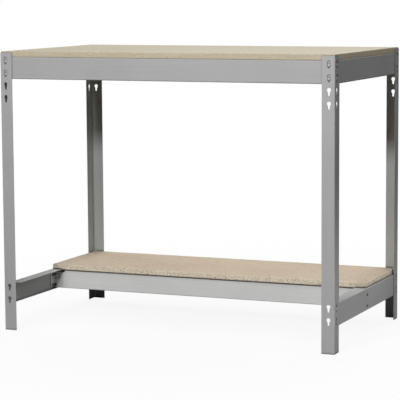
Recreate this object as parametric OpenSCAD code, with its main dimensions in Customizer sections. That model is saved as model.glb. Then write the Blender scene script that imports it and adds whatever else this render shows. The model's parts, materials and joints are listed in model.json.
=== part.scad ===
// Boltless workbench: four keyhole angle posts, riveted sheet-steel beams, a full top board
// and a half-depth lower shelf. X runs along the width, the front faces -Y, and Z is up
// from the floor. The origin is the middle of the footprint.

/* [Overall size] */
// Width over the outer faces of the posts
bench_w = 1055; // [800:5:1500]
// Depth over the outer faces of the posts
bench_d = 610; // [500:5:800]
// Height of the posts
post_h = 840; // [700:1:1000]

/* [Sheet steel] */
// Thickness of the sheet that posts and beams are folded from
sheet_t = 1.5; // [1:0.1:2]
// Outer radius of every fold
fold_r = 3; // [2.5:0.1:4]
// Width of each post flange
post_flange = 39; // [35:1:50]
// Free gap at a beam's end
end_gap = 0.5; // [0.3:0.1:1]

/* [Keyholes] */
// Distance from a post's outer corner to its keyholes
keyhole_inset = 18; // [17:0.5:20]
// Distance between keyholes
keyhole_pitch = 38.1; // [36:0.1:42]
// Round end of a keyhole, where a rivet head passes
keyhole_d = 12; // [11.6:0.1:13]
// Slot width at the height of the round end
slot_w_top = 7.8; // [7.6:0.1:8.2]
// Slot width at the bottom
slot_w_bottom = 5.2; // [4.8:0.1:5.4]
// Distance from the centre of the round end to the centre of the slot's end
slot_drop = 13.6; // [13:0.1:14.2]
// Distance from a post's top to its first keyhole
keyhole_top_drop = 18; // [16:1:24]
// Number of keyholes at the top of a post
keyhole_top_count = 4; // [2:1:6]
// Height of the upper one of the two keyholes near the foot
lower_keyhole_z = 136; // [120:1:300]

/* [Rivets] */
// Shank diameter
rivet_d = 6; // [5.6:0.1:6]
// Head diameter
rivet_head_d = 11; // [9:0.1:11.4]
// Head height
rivet_head_h = 2.2; // [1.5:0.1:3]
// Diameter of the upset tail
rivet_tail_d = 8.6; // [8:0.1:10]
// Height of the upset tail
rivet_tail_h = 1.2; // [0.8:0.1:2]
// How far a seated rivet lies under the centre of its keyhole's round end
rivet_seat = 8.5; // [8:0.1:8.5]

/* [Beams] */
// Height of a beam
beam_h = 66; // [60:1:80]
// Width of the top flange that carries a board
beam_flange = 37; // [25:1:40]
// Width of the stiffening lip along the bottom
beam_lip = 5; // [4:0.5:8]
// Distance from a beam's top to its upper rivet
beam_rivet_drop = 14.5; // [12:0.5:18]

/* [Cross beam] */
// Height of the cross beam
tie_h = 62; // [56:1:64]
// Width of its top flange
tie_flange = 30; // [20:1:40]
// Depth of the step that clears the side beams' flanges
cope_h = 12; // [10:1:14]
// Gap between the cross beam's flange and a side beam's flange
cope_gap = 3; // [2:0.5:6]

/* [Bracket] */
// Bracket leg against the side beam
bracket_side_leg = 25; // [24:1:32]
// Bracket leg against the cross beam
bracket_tie_leg = 15; // [14:1:18]
// Thickness of the bracket
bracket_t = 2; // [1.5:0.1:2.5]
// Height of the bracket
bracket_h = 45; // [43:1:46]
// Distance from the bracket's top to the cross beam's top
bracket_drop = 13; // [13:0.5:14]
// Distance from the bracket's lower end to its lower screw
screw_edge = 6; // [5.5:0.5:7]
// Distance between the two screws of a leg
screw_pitch = 33; // [32:1:33]
// Distance from the upper screw to the spare hole
spare_hole_drop = 12; // [11:1:14]
// Distance from the side beam to the screws in the cross beam
tie_screw_inset = 7.5; // [7.4:0.1:8]

/* [Screws] */
// Thread diameter
screw_d = 5; // [4.5:0.1:5]
// Clearance hole
screw_hole_d = 5.5; // [5.2:0.1:6]
// Head diameter where it meets the sheet
screw_head_d = 9.5; // [8:0.1:9.5]
// Diameter of the head's flat top
screw_top_d = 5.7; // [5:0.1:7]
// Head height
screw_head_h = 2.6; // [2:0.1:3]
// Socket width across flats
socket_w = 3; // [2.5:0.1:3.5]
// Socket depth
socket_depth = 1.6; // [1:0.1:2]
// Nut width across flats
nut_w = 8; // [7:0.1:8]
// Nut thickness
nut_h = 4; // [3:0.1:5]
// Length of thread that stands out of the nut
thread_end = 1; // [0.5:0.1:2]

/* [Boards] */
// Thickness of both boards
board_t = 16; // [12:1:22]
// Gap between the top board and the posts
top_board_gap = 0.5; // [0.3:0.1:3]
// Distance from the posts' outer side faces to the lower shelf's ends
lower_board_end_gap = 6.5; // [2.5:0.5:20]
// Distance from the posts' back faces to the lower shelf
lower_board_back_gap = 3; // [2.5:0.5:20]
// Rounding of the boards' upright corners
board_corner_r = 1.5; // [1:0.5:4]

/* [Hidden] */
$fn = 48;

steel_paint = [0.64, 0.65, 0.64];
zinc = [0.45, 0.45, 0.44];
smooth_board = [0.80, 0.76, 0.66];
raw_chipboard = [0.77, 0.69, 0.58];

cut = 1;                                   // how far every cutter runs past a face
hex = 6;                                   // sides of a nut and of a socket

// Beams lie against the inner faces of the post flanges and stop short of the folds.
beam_end_inset = sheet_t + sheet_t + end_gap;
long_beam_l = bench_w - 2 * beam_end_inset;
side_beam_l = bench_d - 2 * beam_end_inset;
rivet_end_inset = keyhole_inset - beam_end_inset;

first_keyhole_z = post_h - keyhole_top_drop;
keyhole_heights = [
    for (i = [0 : keyhole_top_count - 1]) first_keyhole_z - i * keyhole_pitch,
    lower_keyhole_z,
    lower_keyhole_z - keyhole_pitch
];

// The upper rivet hangs in a level's first keyhole, and the beam's top lies above it.
beam_over_keyhole = beam_rivet_drop - rivet_seat;
top_level_z = first_keyhole_z + beam_over_keyhole;
low_level_z = lower_keyhole_z + beam_over_keyhole;

side_web_x = bench_w / 2 - 2 * sheet_t;    // inner face of a side beam's web
tie_web_y = bracket_side_leg / 2;          // front face of the cross beam's web
tie_flange_l = 2 * (bench_w / 2 - sheet_t - beam_flange - cope_gap);
tie_l = 2 * (side_web_x - bracket_t - end_gap);

bracket_top_z = low_level_z - bracket_drop;
screw_heights = [
    bracket_top_z - bracket_h + screw_edge + screw_pitch,
    bracket_top_z - bracket_h + screw_edge
];
spare_hole_z = screw_heights[0] - spare_hole_drop;
bracket_hole_heights = concat(screw_heights, [spare_hole_z]);
grip = sheet_t + bracket_t;                // thickness of the two sheets that a screw holds together

top_board_w = bench_w - 2 * (sheet_t + top_board_gap);
top_board_d = bench_d - 2 * (sheet_t + top_board_gap);
lower_board_w = bench_w - 2 * lower_board_end_gap;
lower_board_d = top_board_d / 2;

// ---- Outlines ----

// Rectangle from the origin with one rounded corner at the origin.
module corner_plate(a, b, r) {
    translate([r, 0]) square([a - r, b]);
    translate([0, r]) square([a, b - r]);
    translate([r, r]) circle(r);
}

// Folded angle with its outer corner at the origin and legs along +X and +Y.
module angle_outline(a, b, t, r) {
    difference() {
        corner_plate(a, b, r);
        translate([t, t]) corner_plate(a, b, r - t);
    }
}

// Beam section: web along Y from 0 to h, board flange at the top, small lip at the bottom.
module beam_outline(h, flange, lip) {
    translate([0, h]) mirror([0, 1]) angle_outline(flange, h / 2, sheet_t, fold_r);
    angle_outline(lip, h / 2, sheet_t, fold_r);
}

// Keyhole with the centre of its round end at the origin and a slot that narrows downwards.
module keyhole_outline() {
    circle(d = keyhole_d);
    translate([0, -slot_drop]) circle(d = slot_w_bottom);
    polygon([
        [-slot_w_top / 2, 0],
        [slot_w_top / 2, 0],
        [slot_w_bottom / 2, -slot_drop],
        [-slot_w_bottom / 2, -slot_drop]
    ]);
}

module board_outline(w, d) {
    for (turn = [0, 180]) {
        rotate(turn) {
            for (side = [0, 1]) {
                mirror([side, 0]) translate([-w / 2, -d / 2]) corner_plate(w / 2, d / 2, board_corner_r);
            }
        }
    }
}

// ---- Cutters, which run along Y through a sheet whose outer face is at y = 0 ----

module keyhole_cutter() {
    translate([0, sheet_t + cut, 0]) rotate([90, 0, 0]) linear_extrude(sheet_t + 2 * cut) keyhole_outline();
}

module hole_cutter(d, depth) {
    translate([0, -cut, 0]) rotate([-90, 0, 0]) cylinder(d = d, h = depth + 2 * cut);
}

// ---- Posts ----

// Post with its outer corner on the Z axis and its flanges along +X and +Y.
module post() {
    difference() {
        linear_extrude(post_h) angle_outline(post_flange, post_flange, sheet_t, fold_r);
        for (z = keyhole_heights) {
            translate([keyhole_inset, 0, z]) keyhole_cutter();
            translate([0, keyhole_inset, z]) mirror([1, -1, 0]) keyhole_cutter();
        }
    }
}

// Stands a post at a corner of the footprint: side is -1 left or 1 right, end is -1 front or 1 back.
module at_corner(side, end) {
    translate([side * bench_w / 2, end * bench_d / 2, 0]) {
        mirror([side > 0 ? 1 : 0, 0, 0]) mirror([0, end > 0 ? 1 : 0, 0]) children();
    }
}

module post_front_left() color(steel_paint) at_corner(-1, -1) post();
module post_front_right() color(steel_paint) at_corner(1, -1) post();
module post_back_left() color(steel_paint) at_corner(-1, 1) post();
module post_back_right() color(steel_paint) at_corner(1, 1) post();

// ---- Beams, drawn along X with the web's outer face at y = 0 and the top at z = 0 ----

// Puts a copy of its children at each rivet of a beam.
module at_rivets(length) {
    for (side = [-1, 1]) {
        for (row = [0, 1]) {
            translate([side * (length / 2 - rivet_end_inset), 0, -beam_rivet_drop - row * keyhole_pitch])
                children();
        }
    }
}

// Mitre that frees a beam's flange and lip from its neighbour's at the corner of the frame.
module mitre_cutter(length) {
    reach = beam_flange + cut;
    translate([length / 2, 0, -beam_h - cut]) {
        linear_extrude(beam_h + 2 * cut) {
            polygon([[-sheet_t, sheet_t], [cut, sheet_t], [cut, reach], [-reach, reach]]);
        }
    }
}

module beam(length) {
    difference() {
        translate([-length / 2, 0, -beam_h]) rotate([90, 0, 90]) {
            linear_extrude(length) beam_outline(beam_h, beam_flange, beam_lip);
        }
        at_rivets(length) hole_cutter(rivet_d, sheet_t);
        mitre_cutter(length);
        mirror([1, 0, 0]) mitre_cutter(length);
    }
}

// Rivet along Y: domed head outside the post flange, shank through both sheets, upset tail inside.
module rivet() {
    dome_r = (pow(rivet_head_d / 2, 2) + pow(rivet_head_h, 2)) / (2 * rivet_head_h);
    translate([0, -sheet_t, 0]) rotate([-90, 0, 0]) {
        cylinder(d = rivet_d, h = 2 * sheet_t + rivet_tail_h);
        translate([0, 0, 2 * sheet_t]) cylinder(d = rivet_tail_d, h = rivet_tail_h);
        intersection() {
            translate([0, 0, dome_r - rivet_head_h]) sphere(dome_r);
            translate([0, 0, -rivet_head_h]) cylinder(d = rivet_head_d, h = rivet_head_h);
        }
    }
}

module beam_rivets(length) {
    at_rivets(length) rivet();
}

// Each of these turns a beam so that its web lies against the posts on one side of the frame.
module at_front(z) translate([0, sheet_t - bench_d / 2, z]) children();
module at_back(z) rotate(180) at_front(z) children();
module at_left(z) translate([sheet_t - bench_w / 2, 0, z]) rotate(-90) children();
module at_right(z) rotate(180) at_left(z) children();

module top_front_beam() color(steel_paint) at_front(top_level_z) beam(long_beam_l);
module top_back_beam() color(steel_paint) at_back(top_level_z) beam(long_beam_l);
module top_left_beam() color(steel_paint) at_left(top_level_z) beam(side_beam_l);
module top_right_beam() color(steel_paint) at_right(top_level_z) beam(side_beam_l);
module lower_back_beam() color(steel_paint) at_back(low_level_z) beam(long_beam_l);

module top_front_beam_rivets() color(steel_paint) at_front(top_level_z) beam_rivets(long_beam_l);
module top_back_beam_rivets() color(steel_paint) at_back(top_level_z) beam_rivets(long_beam_l);
module top_left_beam_rivets() color(steel_paint) at_left(top_level_z) beam_rivets(side_beam_l);
module top_right_beam_rivets() color(steel_paint) at_right(top_level_z) beam_rivets(side_beam_l);
module lower_back_beam_rivets() color(steel_paint) at_back(low_level_z) beam_rivets(long_beam_l);
module lower_left_beam_rivets() color(steel_paint) at_left(low_level_z) beam_rivets(side_beam_l);
module lower_right_beam_rivets() color(steel_paint) at_right(low_level_z) beam_rivets(side_beam_l);

// A lower side beam also has the two screw holes of the cross beam's bracket, at mid-depth.
module drilled_side_beam() {
    difference() {
        beam(side_beam_l);
        for (z = screw_heights) {
            translate([0, 0, z - low_level_z]) hole_cutter(screw_hole_d, sheet_t);
        }
    }
}

module lower_left_beam() color(steel_paint) at_left(low_level_z) drilled_side_beam();
module lower_right_beam() color(steel_paint) at_right(low_level_z) drilled_side_beam();

// ---- Cross beam and its brackets ----

// Places something drawn for the right end of the cross beam at the left or the right end.
module at_tie_end(side) {
    mirror([side < 0 ? 1 : 0, 0, 0]) children();
}

// Step at the right end of the cross beam that lets it pass under the side beam's flange.
module cope_cutter() {
    translate([tie_flange_l / 2, tie_web_y - cut, low_level_z - cope_h]) {
        cube([tie_l / 2, tie_flange + 2 * cut, cope_h + cut]);
    }
}

module lower_tie_beam() {
    color(steel_paint) difference() {
        translate([-tie_l / 2, tie_web_y, low_level_z - tie_h]) rotate([90, 0, 90]) {
            linear_extrude(tie_l) beam_outline(tie_h, tie_flange, beam_lip);
        }
        for (side = [-1, 1]) {
            at_tie_end(side) {
                cope_cutter();
                for (z = bracket_hole_heights) {
                    translate([side_web_x - tie_screw_inset, tie_web_y, z])
                        hole_cutter(screw_hole_d, sheet_t);
                }
            }
        }
    }
}

// Bracket at the right end: one leg on the side beam's web, one in front of the cross beam's web.
module bracket() {
    difference() {
        translate([side_web_x, tie_web_y, bracket_top_z - bracket_h]) rotate(180) {
            linear_extrude(bracket_h) angle_outline(bracket_tie_leg, bracket_side_leg, bracket_t, fold_r);
        }
        for (z = bracket_hole_heights) {
            translate([side_web_x - tie_screw_inset, tie_web_y - bracket_t, z]) {
                hole_cutter(screw_hole_d, bracket_t);
            }
            translate([side_web_x, 0, z]) rotate(90) hole_cutter(screw_hole_d, bracket_t);
        }
    }
}

module tie_bracket_left() color(steel_paint) at_tie_end(-1) bracket();
module tie_bracket_right() color(steel_paint) at_tie_end(1) bracket();

// Puts its children at each screw of the right bracket, with the head's seat at the origin and
// the thread along +Y.
module at_screws() {
    for (z = screw_heights) {
        translate([side_web_x + sheet_t, 0, z]) rotate(90) children();
        translate([side_web_x - tie_screw_inset, tie_web_y - bracket_t, z]) children();
    }
}

module screw() {
    rotate([-90, 0, 0]) {
        cylinder(d = screw_d, h = grip + nut_h + thread_end);
        difference() {
            translate([0, 0, -screw_head_h])
                cylinder(d1 = screw_top_d, d2 = screw_head_d, h = screw_head_h);
            translate([0, 0, -screw_head_h - cut])
                cylinder(d = socket_w / cos(180 / hex), h = socket_depth + cut, $fn = hex);
        }
    }
}

module nut() {
    translate([0, grip, 0]) rotate([-90, 0, 0]) {
        difference() {
            cylinder(d = nut_w / cos(180 / hex), h = nut_h, $fn = hex);
            translate([0, 0, -cut]) cylinder(d = screw_d, h = nut_h + 2 * cut);
        }
    }
}

module bracket_screws_left() color(zinc) at_tie_end(-1) at_screws() screw();
module bracket_screws_right() color(zinc) at_tie_end(1) at_screws() screw();
module bracket_nuts_left() color(zinc) at_tie_end(-1) at_screws() nut();
module bracket_nuts_right() color(zinc) at_tie_end(1) at_screws() nut();

// ---- Boards ----

module top_board() {
    color(smooth_board) translate([0, 0, top_level_z]) {
        linear_extrude(board_t) board_outline(top_board_w, top_board_d);
    }
}

module lower_board() {
    back_y = bench_d / 2 - lower_board_back_gap;
    color(raw_chipboard) translate([0, back_y - lower_board_d / 2, low_level_z]) {
        linear_extrude(board_t) board_outline(lower_board_w, lower_board_d);
    }
}

// ---- Assembly ----

post_front_left();
post_front_right();
post_back_left();
post_back_right();
top_front_beam();
top_back_beam();
top_left_beam();
top_right_beam();
lower_back_beam();
lower_left_beam();
lower_right_beam();
lower_tie_beam();
top_front_beam_rivets();
top_back_beam_rivets();
top_left_beam_rivets();
top_right_beam_rivets();
lower_back_beam_rivets();
lower_left_beam_rivets();
lower_right_beam_rivets();
tie_bracket_left();
tie_bracket_right();
bracket_screws_left();
bracket_screws_right();
bracket_nuts_left();
bracket_nuts_right();
top_board();
lower_board();
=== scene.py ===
"""Looks of a boltless steel workbench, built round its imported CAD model.

The steel parts keep their CAD shapes and get painted, plated or riveted finishes. The two boards
are replaced by finer meshes with sawn, crumbly edges. All lengths are in metres.
"""
import json
import math

import bpy
from mathutils import Matrix, Vector, noise

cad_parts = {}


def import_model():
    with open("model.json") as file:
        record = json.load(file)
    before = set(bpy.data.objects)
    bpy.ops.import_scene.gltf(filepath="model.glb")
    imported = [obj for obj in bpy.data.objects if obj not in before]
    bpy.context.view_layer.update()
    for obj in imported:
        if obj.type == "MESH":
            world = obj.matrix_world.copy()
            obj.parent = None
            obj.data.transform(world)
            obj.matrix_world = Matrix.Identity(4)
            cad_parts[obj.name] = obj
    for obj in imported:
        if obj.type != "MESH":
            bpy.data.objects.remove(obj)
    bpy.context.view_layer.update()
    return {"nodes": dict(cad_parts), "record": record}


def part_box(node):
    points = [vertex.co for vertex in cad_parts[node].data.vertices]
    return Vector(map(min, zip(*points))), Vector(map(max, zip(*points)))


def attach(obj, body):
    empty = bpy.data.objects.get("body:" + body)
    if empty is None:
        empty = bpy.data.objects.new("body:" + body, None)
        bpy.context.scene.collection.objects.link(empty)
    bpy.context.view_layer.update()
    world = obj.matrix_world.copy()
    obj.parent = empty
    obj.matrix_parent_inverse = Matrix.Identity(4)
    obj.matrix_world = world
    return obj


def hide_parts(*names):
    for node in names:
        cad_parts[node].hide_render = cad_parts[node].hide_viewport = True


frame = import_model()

# ---- Camera: where it stands and how it is turned ----
CAMERA_AZIMUTH = 22.93      # degrees right of the middle of the front
CAMERA_DISTANCE = 5.515     # from the middle of the footprint, along the floor
CAMERA_HEIGHT = 1.043
CAMERA_YAW = 23.03          # degrees left of straight back
CAMERA_PITCH = 6.815        # degrees down
CAMERA_ROLL = -0.365
CAMERA_LENS = 163.4         # mm
CAMERA_SENSOR = 36.0        # mm wide
CAMERA_REACH = 200.0        # how far it sees

# ---- Lights: position, what it faces, width, height, power, spread in degrees ----
OPEN = 180                  # spread of a softbox without a grid
LIGHTS = {
    "front_key_left": ((-0.45, -4.2, 2.3), (0.0, 0.0, 0.4), 0.6, 0.5, 58.0, OPEN),
    "front_key_right": ((0.45, -4.2, 2.3), (0.0, 0.0, 0.4), 0.6, 0.5, 58.0, OPEN),
    "high_key": ((0.0, -3.0, 3.4), (0.0, 0.0, 0.3), 1.6, 1.2, 16.0, OPEN),
    "top_softbox": ((0.0, -0.2, 3.6), (0.0, 0.0, 0.0), 4.4, 3.6, 24.0, OPEN),
    "back_softbox": ((0.0, 2.6, 3.2), (0.0, 0.0, 0.5), 4.0, 2.0, 82.0, OPEN),
    "right_fill": ((3.0, -0.2, 2.5), (0.3, 0.0, 0.4), 1.6, 1.2, 21.0, OPEN),
    "right_card": ((1.45, -0.15, 0.25), (0.5, -0.1, 0.12), 0.9, 0.3, 0.28, 40),
    "left_back_fill": ((-3.6, 2.2, 0.8), (0.0, 0.0, 0.4), 1.8, 0.8, 60.0, OPEN),
}

# ---- Floor ----
FLOOR_RADIUS = 2.2
FLOOR_SIDES = 96
FLOOR_DROP = 0.0005         # keeps the paper clear of the feet
FLOOR_FADE = (0.66, 1.98)   # distances between which the paper turns white
FLOOR_GREY = 0.08           # how much light the paper throws back up
FLOOR_GLOW = 0.90           # how white the camera sees it near the feet

# ---- Boards ----
CHIPBOARD_STEP = 0.003      # spacing of the lower board's mesh
CHIPBOARD_CRUMBLE = 0.0007  # how deep its sawn edges are torn
CHIPBOARD_ROWS = 9          # rows of faces up its edges
SMOOTH_STEP = 0.004
SMOOTH_CRUMBLE = 0.00025
SMOOTH_ROWS = 6
CHIPS_ALONG = 140           # torn chips per metre along an edge
CHIPS_UP = 700              # and up it
CHIP_SKEW = 3.1             # how fast the pattern shifts along X from front to back
CHIP_SHARE = 0.55           # share of whole chips in a tear's depth; fine grain makes up the rest
GRAIN = 260                 # grains per metre
RIM_TEAR = 0.9              # how much deeper an edge is torn along its rims
RIM_BITE = 1.2              # and how much deeper still where a bite is missing
BITES = 90                  # bites per metre
RIM_WAVE = 0.5              # how far a rim wanders up and down
WAVES = 170                 # waves per metre
CORNER_TEAR = 1.6           # how much deeper a corner is torn

# ---- Colours and finishes ----
PAINT = (0.54, 0.545, 0.538)
PAINT_METALLIC = 0.15
LIGHT_PAINT = (0.90, 0.905, 0.89)
LIGHT_PAINT_METALLIC = 0.10
RIVET_METALLIC = 0.30
ZINC = (0.30, 0.30, 0.29)
WHITE = (1.0, 1.0, 1.0)
EVEN = (1, 1, 1)            # stretches a texture alike in all directions

# ---- Painted shade in crevices and gaps: the higher the number, the darker ----
GAP_SHADE_REACH = 0.007             # how far out of crevices and gaps the painted shade reaches
PAINT_GAP_SHADE = 1.5
LIGHT_PAINT_GAP_SHADE = 0.3
RIVET_GAP_SHADE = 1.3
ZINC_GAP_SHADE = 2.0
SMOOTH_BOARD_GAP_SHADE = 1.2
CHIPBOARD_GAP_SHADE = 2.5


def times(factor, colour):
    return tuple(factor * c for c in colour)


# ======== Node helpers ========

class Nodes:
    """Builds one material's node tree."""

    def __init__(self, name):
        self.material = bpy.data.materials.new(name)
        self.material.use_nodes = True
        self.tree = self.material.node_tree
        self.shader = self.tree.nodes["Principled BSDF"]
        self.coords = self.add("ShaderNodeTexCoord")

    def add(self, kind, **settings):
        node = self.tree.nodes.new(kind)
        for key, value in settings.items():
            setattr(node, key, value)
        return node

    def link(self, source, target):
        self.tree.links.new(source, target)

    def scaled(self, scale, turn=0.0):
        """Coordinates in metres, turned about Z and stretched by scale along each axis."""
        mapping = self.add("ShaderNodeMapping")
        mapping.inputs["Rotation"].default_value = (0.0, 0.0, turn)
        mapping.inputs["Scale"].default_value = scale
        self.link(self.coords.outputs["Object"], mapping.inputs["Vector"])
        return mapping.outputs["Vector"]

    def noise(self, stretch, scale, detail=3.0, roughness=0.55):
        """Cloudy noise from 0 to 1."""
        node = self.add("ShaderNodeTexNoise")
        node.inputs["Scale"].default_value = scale
        node.inputs["Detail"].default_value = detail
        node.inputs["Roughness"].default_value = roughness
        self.link(self.scaled(stretch), node.inputs["Vector"])
        return node.outputs["Fac"]

    def chips(self, stretch, turn=0.0):
        """A random number for each cell of a cellular pattern."""
        node = self.add("ShaderNodeTexVoronoi", feature="F1")
        node.inputs["Scale"].default_value = 1.0
        self.link(self.scaled(stretch, turn), node.inputs["Vector"])
        split = self.add("ShaderNodeSeparateColor")
        self.link(node.outputs["Color"], split.inputs["Color"])
        return split.outputs["Red"]

    def ramp(self, value, *stops):
        """A colour for a number, from stops of place and colour."""
        node = self.add("ShaderNodeValToRGB")
        elements = node.color_ramp.elements
        while len(elements) < len(stops):
            elements.new(0.5)
        for element, (place, colour) in zip(elements, stops):
            element.position = place
            element.color = (*colour, 1.0)
        self.link(value, node.inputs["Fac"])
        return node.outputs["Color"]

    def grey(self, value, low, high, start=0.0, end=1.0):
        """A number from low to high as value goes from start to end."""
        node = self.add("ShaderNodeMapRange")
        node.inputs["From Min"].default_value = start
        node.inputs["From Max"].default_value = end
        node.inputs["To Min"].default_value = low
        node.inputs["To Max"].default_value = high
        self.link(value, node.inputs["Value"])
        return node.outputs["Result"]

    def maths(self, operation, a, b=0.0):
        node = self.add("ShaderNodeMath", operation=operation)
        for socket, value in zip(node.inputs, (a, b)):
            if isinstance(value, (int, float)):
                socket.default_value = value
            else:
                self.link(value, socket)
        return node.outputs["Value"]

    def blend(self, a, b, share):
        """The sum of two numbers: share of a, and the rest of b."""
        rest = self.maths("MULTIPLY", b, 1.0 - share)
        return self.maths("ADD", self.maths("MULTIPLY", a, share), rest)

    def mix(self, factor, a, b, mode="MIX"):
        """Mixes two colours. Sockets 0, 6 and 7 are the factor and the colours of the node."""
        node = self.add("ShaderNodeMix", data_type="RGBA", blend_type=mode)
        for index, value in ((0, factor), (6, a), (7, b)):
            socket = node.inputs[index]
            if isinstance(value, (int, float)):
                socket.default_value = value
            elif isinstance(value, tuple):
                socket.default_value = (*value, 1.0)
            else:
                self.link(value, socket)
        return node.outputs[2]

    def paint_gap_shade(self, colour, shade_strength):
        """Paints shade into a colour: darkens it where another surface is near, as the shade in a
        gap or corner would.
        """
        near = self.add("ShaderNodeAmbientOcclusion", samples=12)
        near.inputs["Distance"].default_value = GAP_SHADE_REACH
        # painted shade: occlusion raised to a power darkens the base colour near other surfaces
        shade = self.maths("POWER", near.outputs["AO"], shade_strength)
        return self.mix(1.0, colour, shade, "MULTIPLY")

    def bump(self, height, distance, strength=0.5, under=None):
        node = self.add("ShaderNodeBump")
        node.inputs["Strength"].default_value = strength
        node.inputs["Distance"].default_value = distance
        self.link(height, node.inputs["Height"])
        if under is not None:
            self.link(under, node.inputs["Normal"])
        return node.outputs["Normal"]

    def finish(self, colour, roughness, normal=None, metallic=0.0):
        self.link(colour, self.shader.inputs["Base Color"])
        self.link(roughness, self.shader.inputs["Roughness"])
        self.shader.inputs["Metallic"].default_value = metallic
        if normal is not None:
            self.link(normal, self.shader.inputs["Normal"])
        return self.material


# ======== Materials ========

def painted_steel(name, along, paint, metallic, shade_strength):
    """Satin powder coat: fine orange peel, a faint speckle and faint roll marks along the sheet."""
    n = Nodes(name)
    stretch = [180.0, 180.0, 180.0]
    stretch["XYZ".index(along)] = 2.0
    marks = n.noise(tuple(stretch), 1.0, detail=2.0)
    cloud = n.noise(EVEN, 5.0, detail=4.0)
    speckle = n.noise(EVEN, 1500.0, detail=1.0)
    peel = n.noise(EVEN, 650.0, detail=2.0)
    tone = n.blend(marks, cloud, 0.45)
    colour = n.ramp(tone, (0.3, times(0.93, paint)), (0.7, times(1.06, paint)))
    specks = n.ramp(speckle, (0.35, times(0.90, WHITE)), (0.65, times(1.08, WHITE)))
    colour = n.mix(0.5, colour, specks, "MULTIPLY")
    dull = n.maths("ADD", cloud, n.maths("MULTIPLY", speckle, 0.4))
    roughness = n.grey(dull, 0.52, 0.62, 0.4, 1.0)
    return n.finish(n.paint_gap_shade(colour, shade_strength), roughness, n.bump(peel, 0.00006), metallic)


def riveted(name):
    """The same paint on rivets, duller and worn thin on the domed heads."""
    n = Nodes(name)
    cloud = n.noise(EVEN, 120.0, detail=3.0)
    dents = n.noise(EVEN, 420.0, detail=2.0)
    colour = n.ramp(cloud, (0.35, times(0.75, PAINT)), (0.7, PAINT))
    roughness = n.grey(dents, 0.45, 0.60, 0.3, 0.7)
    normal = n.bump(dents, 0.00015, 0.6)
    return n.finish(n.paint_gap_shade(colour, RIVET_GAP_SHADE), roughness, normal, RIVET_METALLIC)


def dull_zinc(name):
    """Zinc-plated fasteners, dull and slightly blotchy."""
    n = Nodes(name)
    blotch = n.noise(EVEN, 260.0, detail=3.0)
    scratch = n.noise((900.0, 900.0, 120.0), 1.0, detail=2.0)
    colour = n.ramp(blotch, (0.3, times(0.75, ZINC)), (0.75, times(1.3, ZINC)))
    roughness = n.grey(scratch, 0.32, 0.55, 0.3, 0.7)
    return n.finish(n.paint_gap_shade(colour, ZINC_GAP_SHADE), roughness, n.bump(scratch, 0.00005), 1.0)


def smooth_board_finish(name):
    """Sanded particle board: fine pale faces, and edges with a browner core of small chips."""
    n = Nodes(name)
    fine = n.chips((420.0, 420.0, 420.0))
    small = n.chips((260.0, 260.0, 620.0))
    layers = n.noise((9.0, 9.0, 520.0), 1.0, detail=2.0)
    cloud = n.noise(EVEN, 7.0, detail=4.0)
    bands = n.noise((1.2, 26.0, 1.0), 1.0, detail=3.0)

    face = n.ramp(
        fine,
        (0.0, (0.56, 0.51, 0.39)),
        (0.55, (0.63, 0.58, 0.45)),
        (1.0, (0.69, 0.64, 0.51)),
    )
    warm = n.ramp(bands, (0.35, (0.95, 0.90, 0.80)), (0.65, (1.04, 1.03, 1.0)))
    face = n.mix(0.8, face, warm, "MULTIPLY")

    core = n.ramp(layers, (0.3, (0.63, 0.53, 0.38)), (0.7, (0.74, 0.64, 0.48)))
    flecks = n.ramp(
        small,
        (0.0, (0.72, 0.67, 0.60)),
        (0.2, (0.97, 0.96, 0.95)),
        (1.0, (1.06, 1.06, 1.06)),
    )
    core = n.mix(0.7, core, flecks, "MULTIPLY")

    height = n.add("ShaderNodeSeparateXYZ")
    n.link(n.coords.outputs["Generated"], height.inputs["Vector"])
    from_middle = n.maths("ABSOLUTE", n.maths("SUBTRACT", height.outputs["Z"], 0.5))
    wobble = n.maths("ADD", from_middle, n.grey(n.noise(EVEN, 60.0), -0.05, 0.05))
    inside = n.grey(wobble, 1.0, 0.0, 0.26, 0.40)
    colour = n.mix(inside, face, core)
    roughness = n.grey(cloud, 0.62, 0.68, 0.3, 0.7)
    return n.finish(n.paint_gap_shade(colour, SMOOTH_BOARD_GAP_SHADE), roughness, n.bump(fine, 0.00006))


def chipboard_finish(name):
    """Raw chipboard: flat chips of many tans, and edges with dark and bright flakes."""
    n = Nodes(name)
    wide = n.chips((70.0, 120.0, 300.0))
    turned = n.chips((150.0, 55.0, 300.0), turn=0.9)
    fine = n.chips((320.0, 320.0, 500.0))
    cloud = n.noise(EVEN, 6.0, detail=4.0)
    chips = n.blend(wide, turned, 0.4)

    face = n.ramp(cloud, (0.3, (0.68, 0.55, 0.415)), (0.7, (0.725, 0.60, 0.455)))
    patch = n.ramp(chips, (0.12, (0.90, 0.88, 0.85)), (0.5, WHITE), (0.9, (1.06, 1.07, 1.06)))
    face = n.mix(0.75, face, patch, "MULTIPLY")
    dust = n.ramp(
        fine,
        (0.0, (0.68, 0.58, 0.47)),
        (0.10, (0.98, 0.97, 0.96)),
        (1.0, (1.05, 1.05, 1.04)),
    )
    face = n.mix(0.55, face, dust, "MULTIPLY")

    edge = n.ramp(
        n.chips((190.0, 190.0, 620.0)),
        (0.0, (0.42, 0.31, 0.20)),
        (0.10, (0.78, 0.65, 0.48)),
        (0.45, (0.90, 0.78, 0.60)),
        (0.78, (0.96, 0.85, 0.67)),
        (1.0, (1.00, 0.95, 0.84)),
    )
    sawn = n.add("ShaderNodeAttribute", attribute_name="sawn")
    colour = n.mix(sawn.outputs["Fac"], face, edge)
    roughness = n.grey(turned, 0.66, 0.85)
    normal = n.bump(fine, 0.00015, 0.5, n.bump(chips, 0.0002, 0.6))
    return n.finish(n.paint_gap_shade(colour, CHIPBOARD_GAP_SHADE), roughness, normal)


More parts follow.
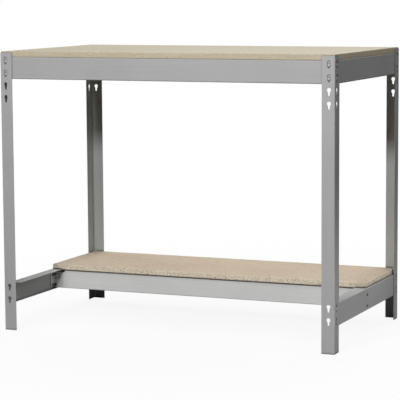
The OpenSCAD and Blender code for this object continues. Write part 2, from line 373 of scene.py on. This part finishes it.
def floor_finish(name):
    """Pale paper that turns white towards its rim, and throws only a little light back up."""
    n = Nodes(name)
    cloud = n.noise(EVEN, 1.5, detail=2.0)
    seen = n.add("ShaderNodeLightPath").outputs["Is Camera Ray"]
    paper = n.ramp(cloud, (0.3, times(0.90, WHITE)), (0.7, times(0.92, WHITE)))
    colour = n.mix(seen, times(FLOOR_GREY, WHITE), paper)
    n.finish(colour, n.grey(cloud, 0.7, 0.8))

    distance = n.add("ShaderNodeVectorMath", operation="LENGTH")
    n.link(n.coords.outputs["Object"], distance.inputs[0])
    fade = n.grey(distance.outputs["Value"], FLOOR_GLOW, 1.0, *FLOOR_FADE)
    white = n.add("ShaderNodeEmission")
    both = n.add("ShaderNodeMixShader")
    n.link(n.maths("MULTIPLY", fade, seen), both.inputs[0])
    n.link(n.shader.outputs[0], both.inputs[1])
    n.link(white.outputs[0], both.inputs[2])
    n.link(both.outputs[0], n.tree.nodes["Material Output"].inputs["Surface"])
    return n.material


# ======== Boards ========

def steps(low, high, step):
    """Places from low to high, evenly spaced about a step apart."""
    count = max(2, round((high - low) / step))
    return [low + (high - low) * i / count for i in range(count + 1)]


def torn(point, inward, rim, crumble):
    """A point of a sawn edge, torn inwards: rim is 1 along the edge's foot and -1 along its top."""
    chip = noise.cell(Vector((
        point.x * CHIPS_ALONG + CHIP_SKEW * point.y * CHIPS_ALONG,
        point.y * CHIPS_ALONG,
        point.z * CHIPS_UP,
    )))
    grain = 0.5 + 0.5 * noise.noise(point * GRAIN)
    depth = crumble * (CHIP_SHARE * abs(chip) + (1.0 - CHIP_SHARE) * grain)
    if rim:
        depth += crumble * (RIM_TEAR + RIM_BITE * max(0.0, noise.noise(point * BITES)))
        point.z += rim * crumble * RIM_WAVE * abs(noise.noise(point * WAVES))
    corner = CORNER_TEAR if inward.length > 1 else 1.0
    return point + inward.normalized() * depth * corner


def box_faces(last, vertex):
    """Faces over the six sides of a grid of points, all turned outwards."""
    faces = []

    def pair(axis, corners):
        """A face on the low side of an axis, and its mirror image on the high side."""
        first, *others = corners
        mirrored = (first, *reversed(others))
        for place, around in ((0, corners), (last[axis], mirrored)):
            faces.append([vertex(*at[:axis], place, *at[axis:]) for at in around])

    for i in range(last[0]):
        for j in range(last[1]):
            pair(2, ((i, j), (i, j + 1), (i + 1, j + 1), (i + 1, j)))
    for k in range(last[2]):
        for i in range(last[0]):
            pair(1, ((i, k), (i + 1, k), (i + 1, k + 1), (i, k + 1)))
        for j in range(last[1]):
            pair(0, ((j, k), (j, k + 1), (j + 1, k + 1), (j + 1, k)))
    return faces


def board(name, node, step, crumble, rows):
    """A board in a CAD board's place: gridded faces, and sawn edges torn inwards only."""
    low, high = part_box(node)
    grid = [
        steps(low.x, high.x, step),
        steps(low.y, high.y, step),
        steps(low.z, high.z, (high.z - low.z) / rows),
    ]
    last = [len(places) - 1 for places in grid]
    index = {}
    points = []
    sawn = []

    def side(place, end):
        """1 at the low side of an axis, -1 at the high side, 0 between them."""
        return (place == 0) - (place == end)

    def vertex(*key):
        if key not in index:
            index[key] = len(points)
            point = Vector([places[at] for places, at in zip(grid, key)])
            inward = Vector((side(key[0], last[0]), side(key[1], last[1]), 0.0))
            if inward.length:
                point = torn(point, inward, side(key[2], last[2]), crumble)
            points.append(point)
            sawn.append(1.0 if inward.length else 0.0)
        return index[key]

    faces = box_faces(last, vertex)
    mesh = bpy.data.meshes.new(name)
    mesh.from_pydata(points, [], faces)
    attribute = mesh.attributes.new("sawn", "FLOAT", "POINT")
    attribute.data.foreach_set("value", sawn)
    mesh.update()
    piece = bpy.data.objects.new(name, mesh)
    bpy.context.scene.collection.objects.link(piece)
    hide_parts(node)
    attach(piece, "root")
    return piece


# ======== Studio ========

def floor():
    """A round sheet of paper under the feet."""
    rim = []
    for i in range(FLOOR_SIDES):
        angle = 2 * math.pi * i / FLOOR_SIDES
        rim.append((FLOOR_RADIUS * math.cos(angle), FLOOR_RADIUS * math.sin(angle), -FLOOR_DROP))
    mesh = bpy.data.meshes.new("floor")
    mesh.from_pydata(rim, [], [tuple(range(FLOOR_SIDES))])
    mesh.materials.append(floor_finish("floor_paper"))
    piece = bpy.data.objects.new("floor", mesh)
    bpy.context.scene.collection.objects.link(piece)


def lights():
    for name, (place, target, width, height, power, spread) in LIGHTS.items():
        data = bpy.data.lights.new(name, "AREA")
        data.shape = "RECTANGLE"
        data.size = width
        data.size_y = height
        data.energy = power
        data.spread = math.radians(spread)
        lamp = bpy.data.objects.new(name, data)
        lamp.location = place
        lamp.rotation_mode = "QUATERNION"
        lamp.rotation_quaternion = (Vector(target) - Vector(place)).to_track_quat("-Z", "Y")
        lamp.visible_camera = False
        bpy.context.scene.collection.objects.link(lamp)


def world():
    """White behind the object, for the camera only: it lights nothing."""
    made = bpy.data.worlds.new("studio")
    made.use_nodes = True
    tree = made.node_tree
    tree.nodes.clear()
    path = tree.nodes.new("ShaderNodeLightPath")
    background = tree.nodes.new("ShaderNodeBackground")
    background.inputs["Color"].default_value = (*WHITE, 1.0)
    out = tree.nodes.new("ShaderNodeOutputWorld")
    tree.links.new(path.outputs["Is Camera Ray"], background.inputs["Strength"])
    tree.links.new(background.outputs[0], out.inputs["Surface"])
    bpy.context.scene.world = made


def camera():
    data = bpy.data.cameras.new("camera")
    data.sensor_width = CAMERA_SENSOR
    data.lens = CAMERA_LENS
    data.clip_end = CAMERA_REACH
    made = bpy.data.objects.new("camera", data)
    azimuth = math.radians(CAMERA_AZIMUTH)
    place = Vector((math.sin(azimuth), -math.cos(azimuth), 0.0)) * CAMERA_DISTANCE
    place.z = CAMERA_HEIGHT
    turn = (Matrix.Rotation(math.radians(CAMERA_YAW), 4, "Z")
            @ Matrix.Rotation(math.radians(90.0 - CAMERA_PITCH), 4, "X")
            @ Matrix.Rotation(math.radians(CAMERA_ROLL), 4, "Z"))
    made.matrix_world = Matrix.Translation(place) @ turn
    bpy.context.scene.collection.objects.link(made)
    bpy.context.scene.camera = made


# ======== Build ========

camera()
lights()
world()
floor()
bpy.context.scene.view_settings.view_transform = "Standard"

paint = {}
for along in "XYZ":
    material_name = "steel_paint_" + along.lower()
    paint[along] = painted_steel(material_name, along, PAINT, PAINT_METALLIC, PAINT_GAP_SHADE)

finishes = {
    "light_steel": painted_steel(
        "light_steel_paint", "X", LIGHT_PAINT, LIGHT_PAINT_METALLIC, LIGHT_PAINT_GAP_SHADE),
    "rivet": riveted("rivet_paint"),
    "zinc": dull_zinc("dull_zinc"),
    "smooth_board": smooth_board_finish("sanded_board"),
    "raw_chipboard": chipboard_finish("raw_chipboard"),
}


def steel_direction(node):
    """The axis that a steel part's sheet was rolled along: its longest side."""
    low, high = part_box(node)
    size = high - low
    return "XYZ"[max(range(3), key=lambda axis: size[axis])]


for part in frame["record"]["subparts"]:
    node, wanted = part["node"], part["material_slot"]
    if wanted == "painted_steel":
        material = paint[steel_direction(node)]
    else:
        material = finishes[wanted]
    mesh = frame["nodes"][node].data
    mesh.materials.clear()
    mesh.materials.append(material)

worktop = board("worktop_board", "top_board", SMOOTH_STEP, SMOOTH_CRUMBLE, SMOOTH_ROWS)
shelf = board("shelf_board", "lower_board", CHIPBOARD_STEP, CHIPBOARD_CRUMBLE, CHIPBOARD_ROWS)
for piece, wanted in ((worktop, "smooth_board"), (shelf, "raw_chipboard")):
    piece.data.materials.append(finishes[wanted])
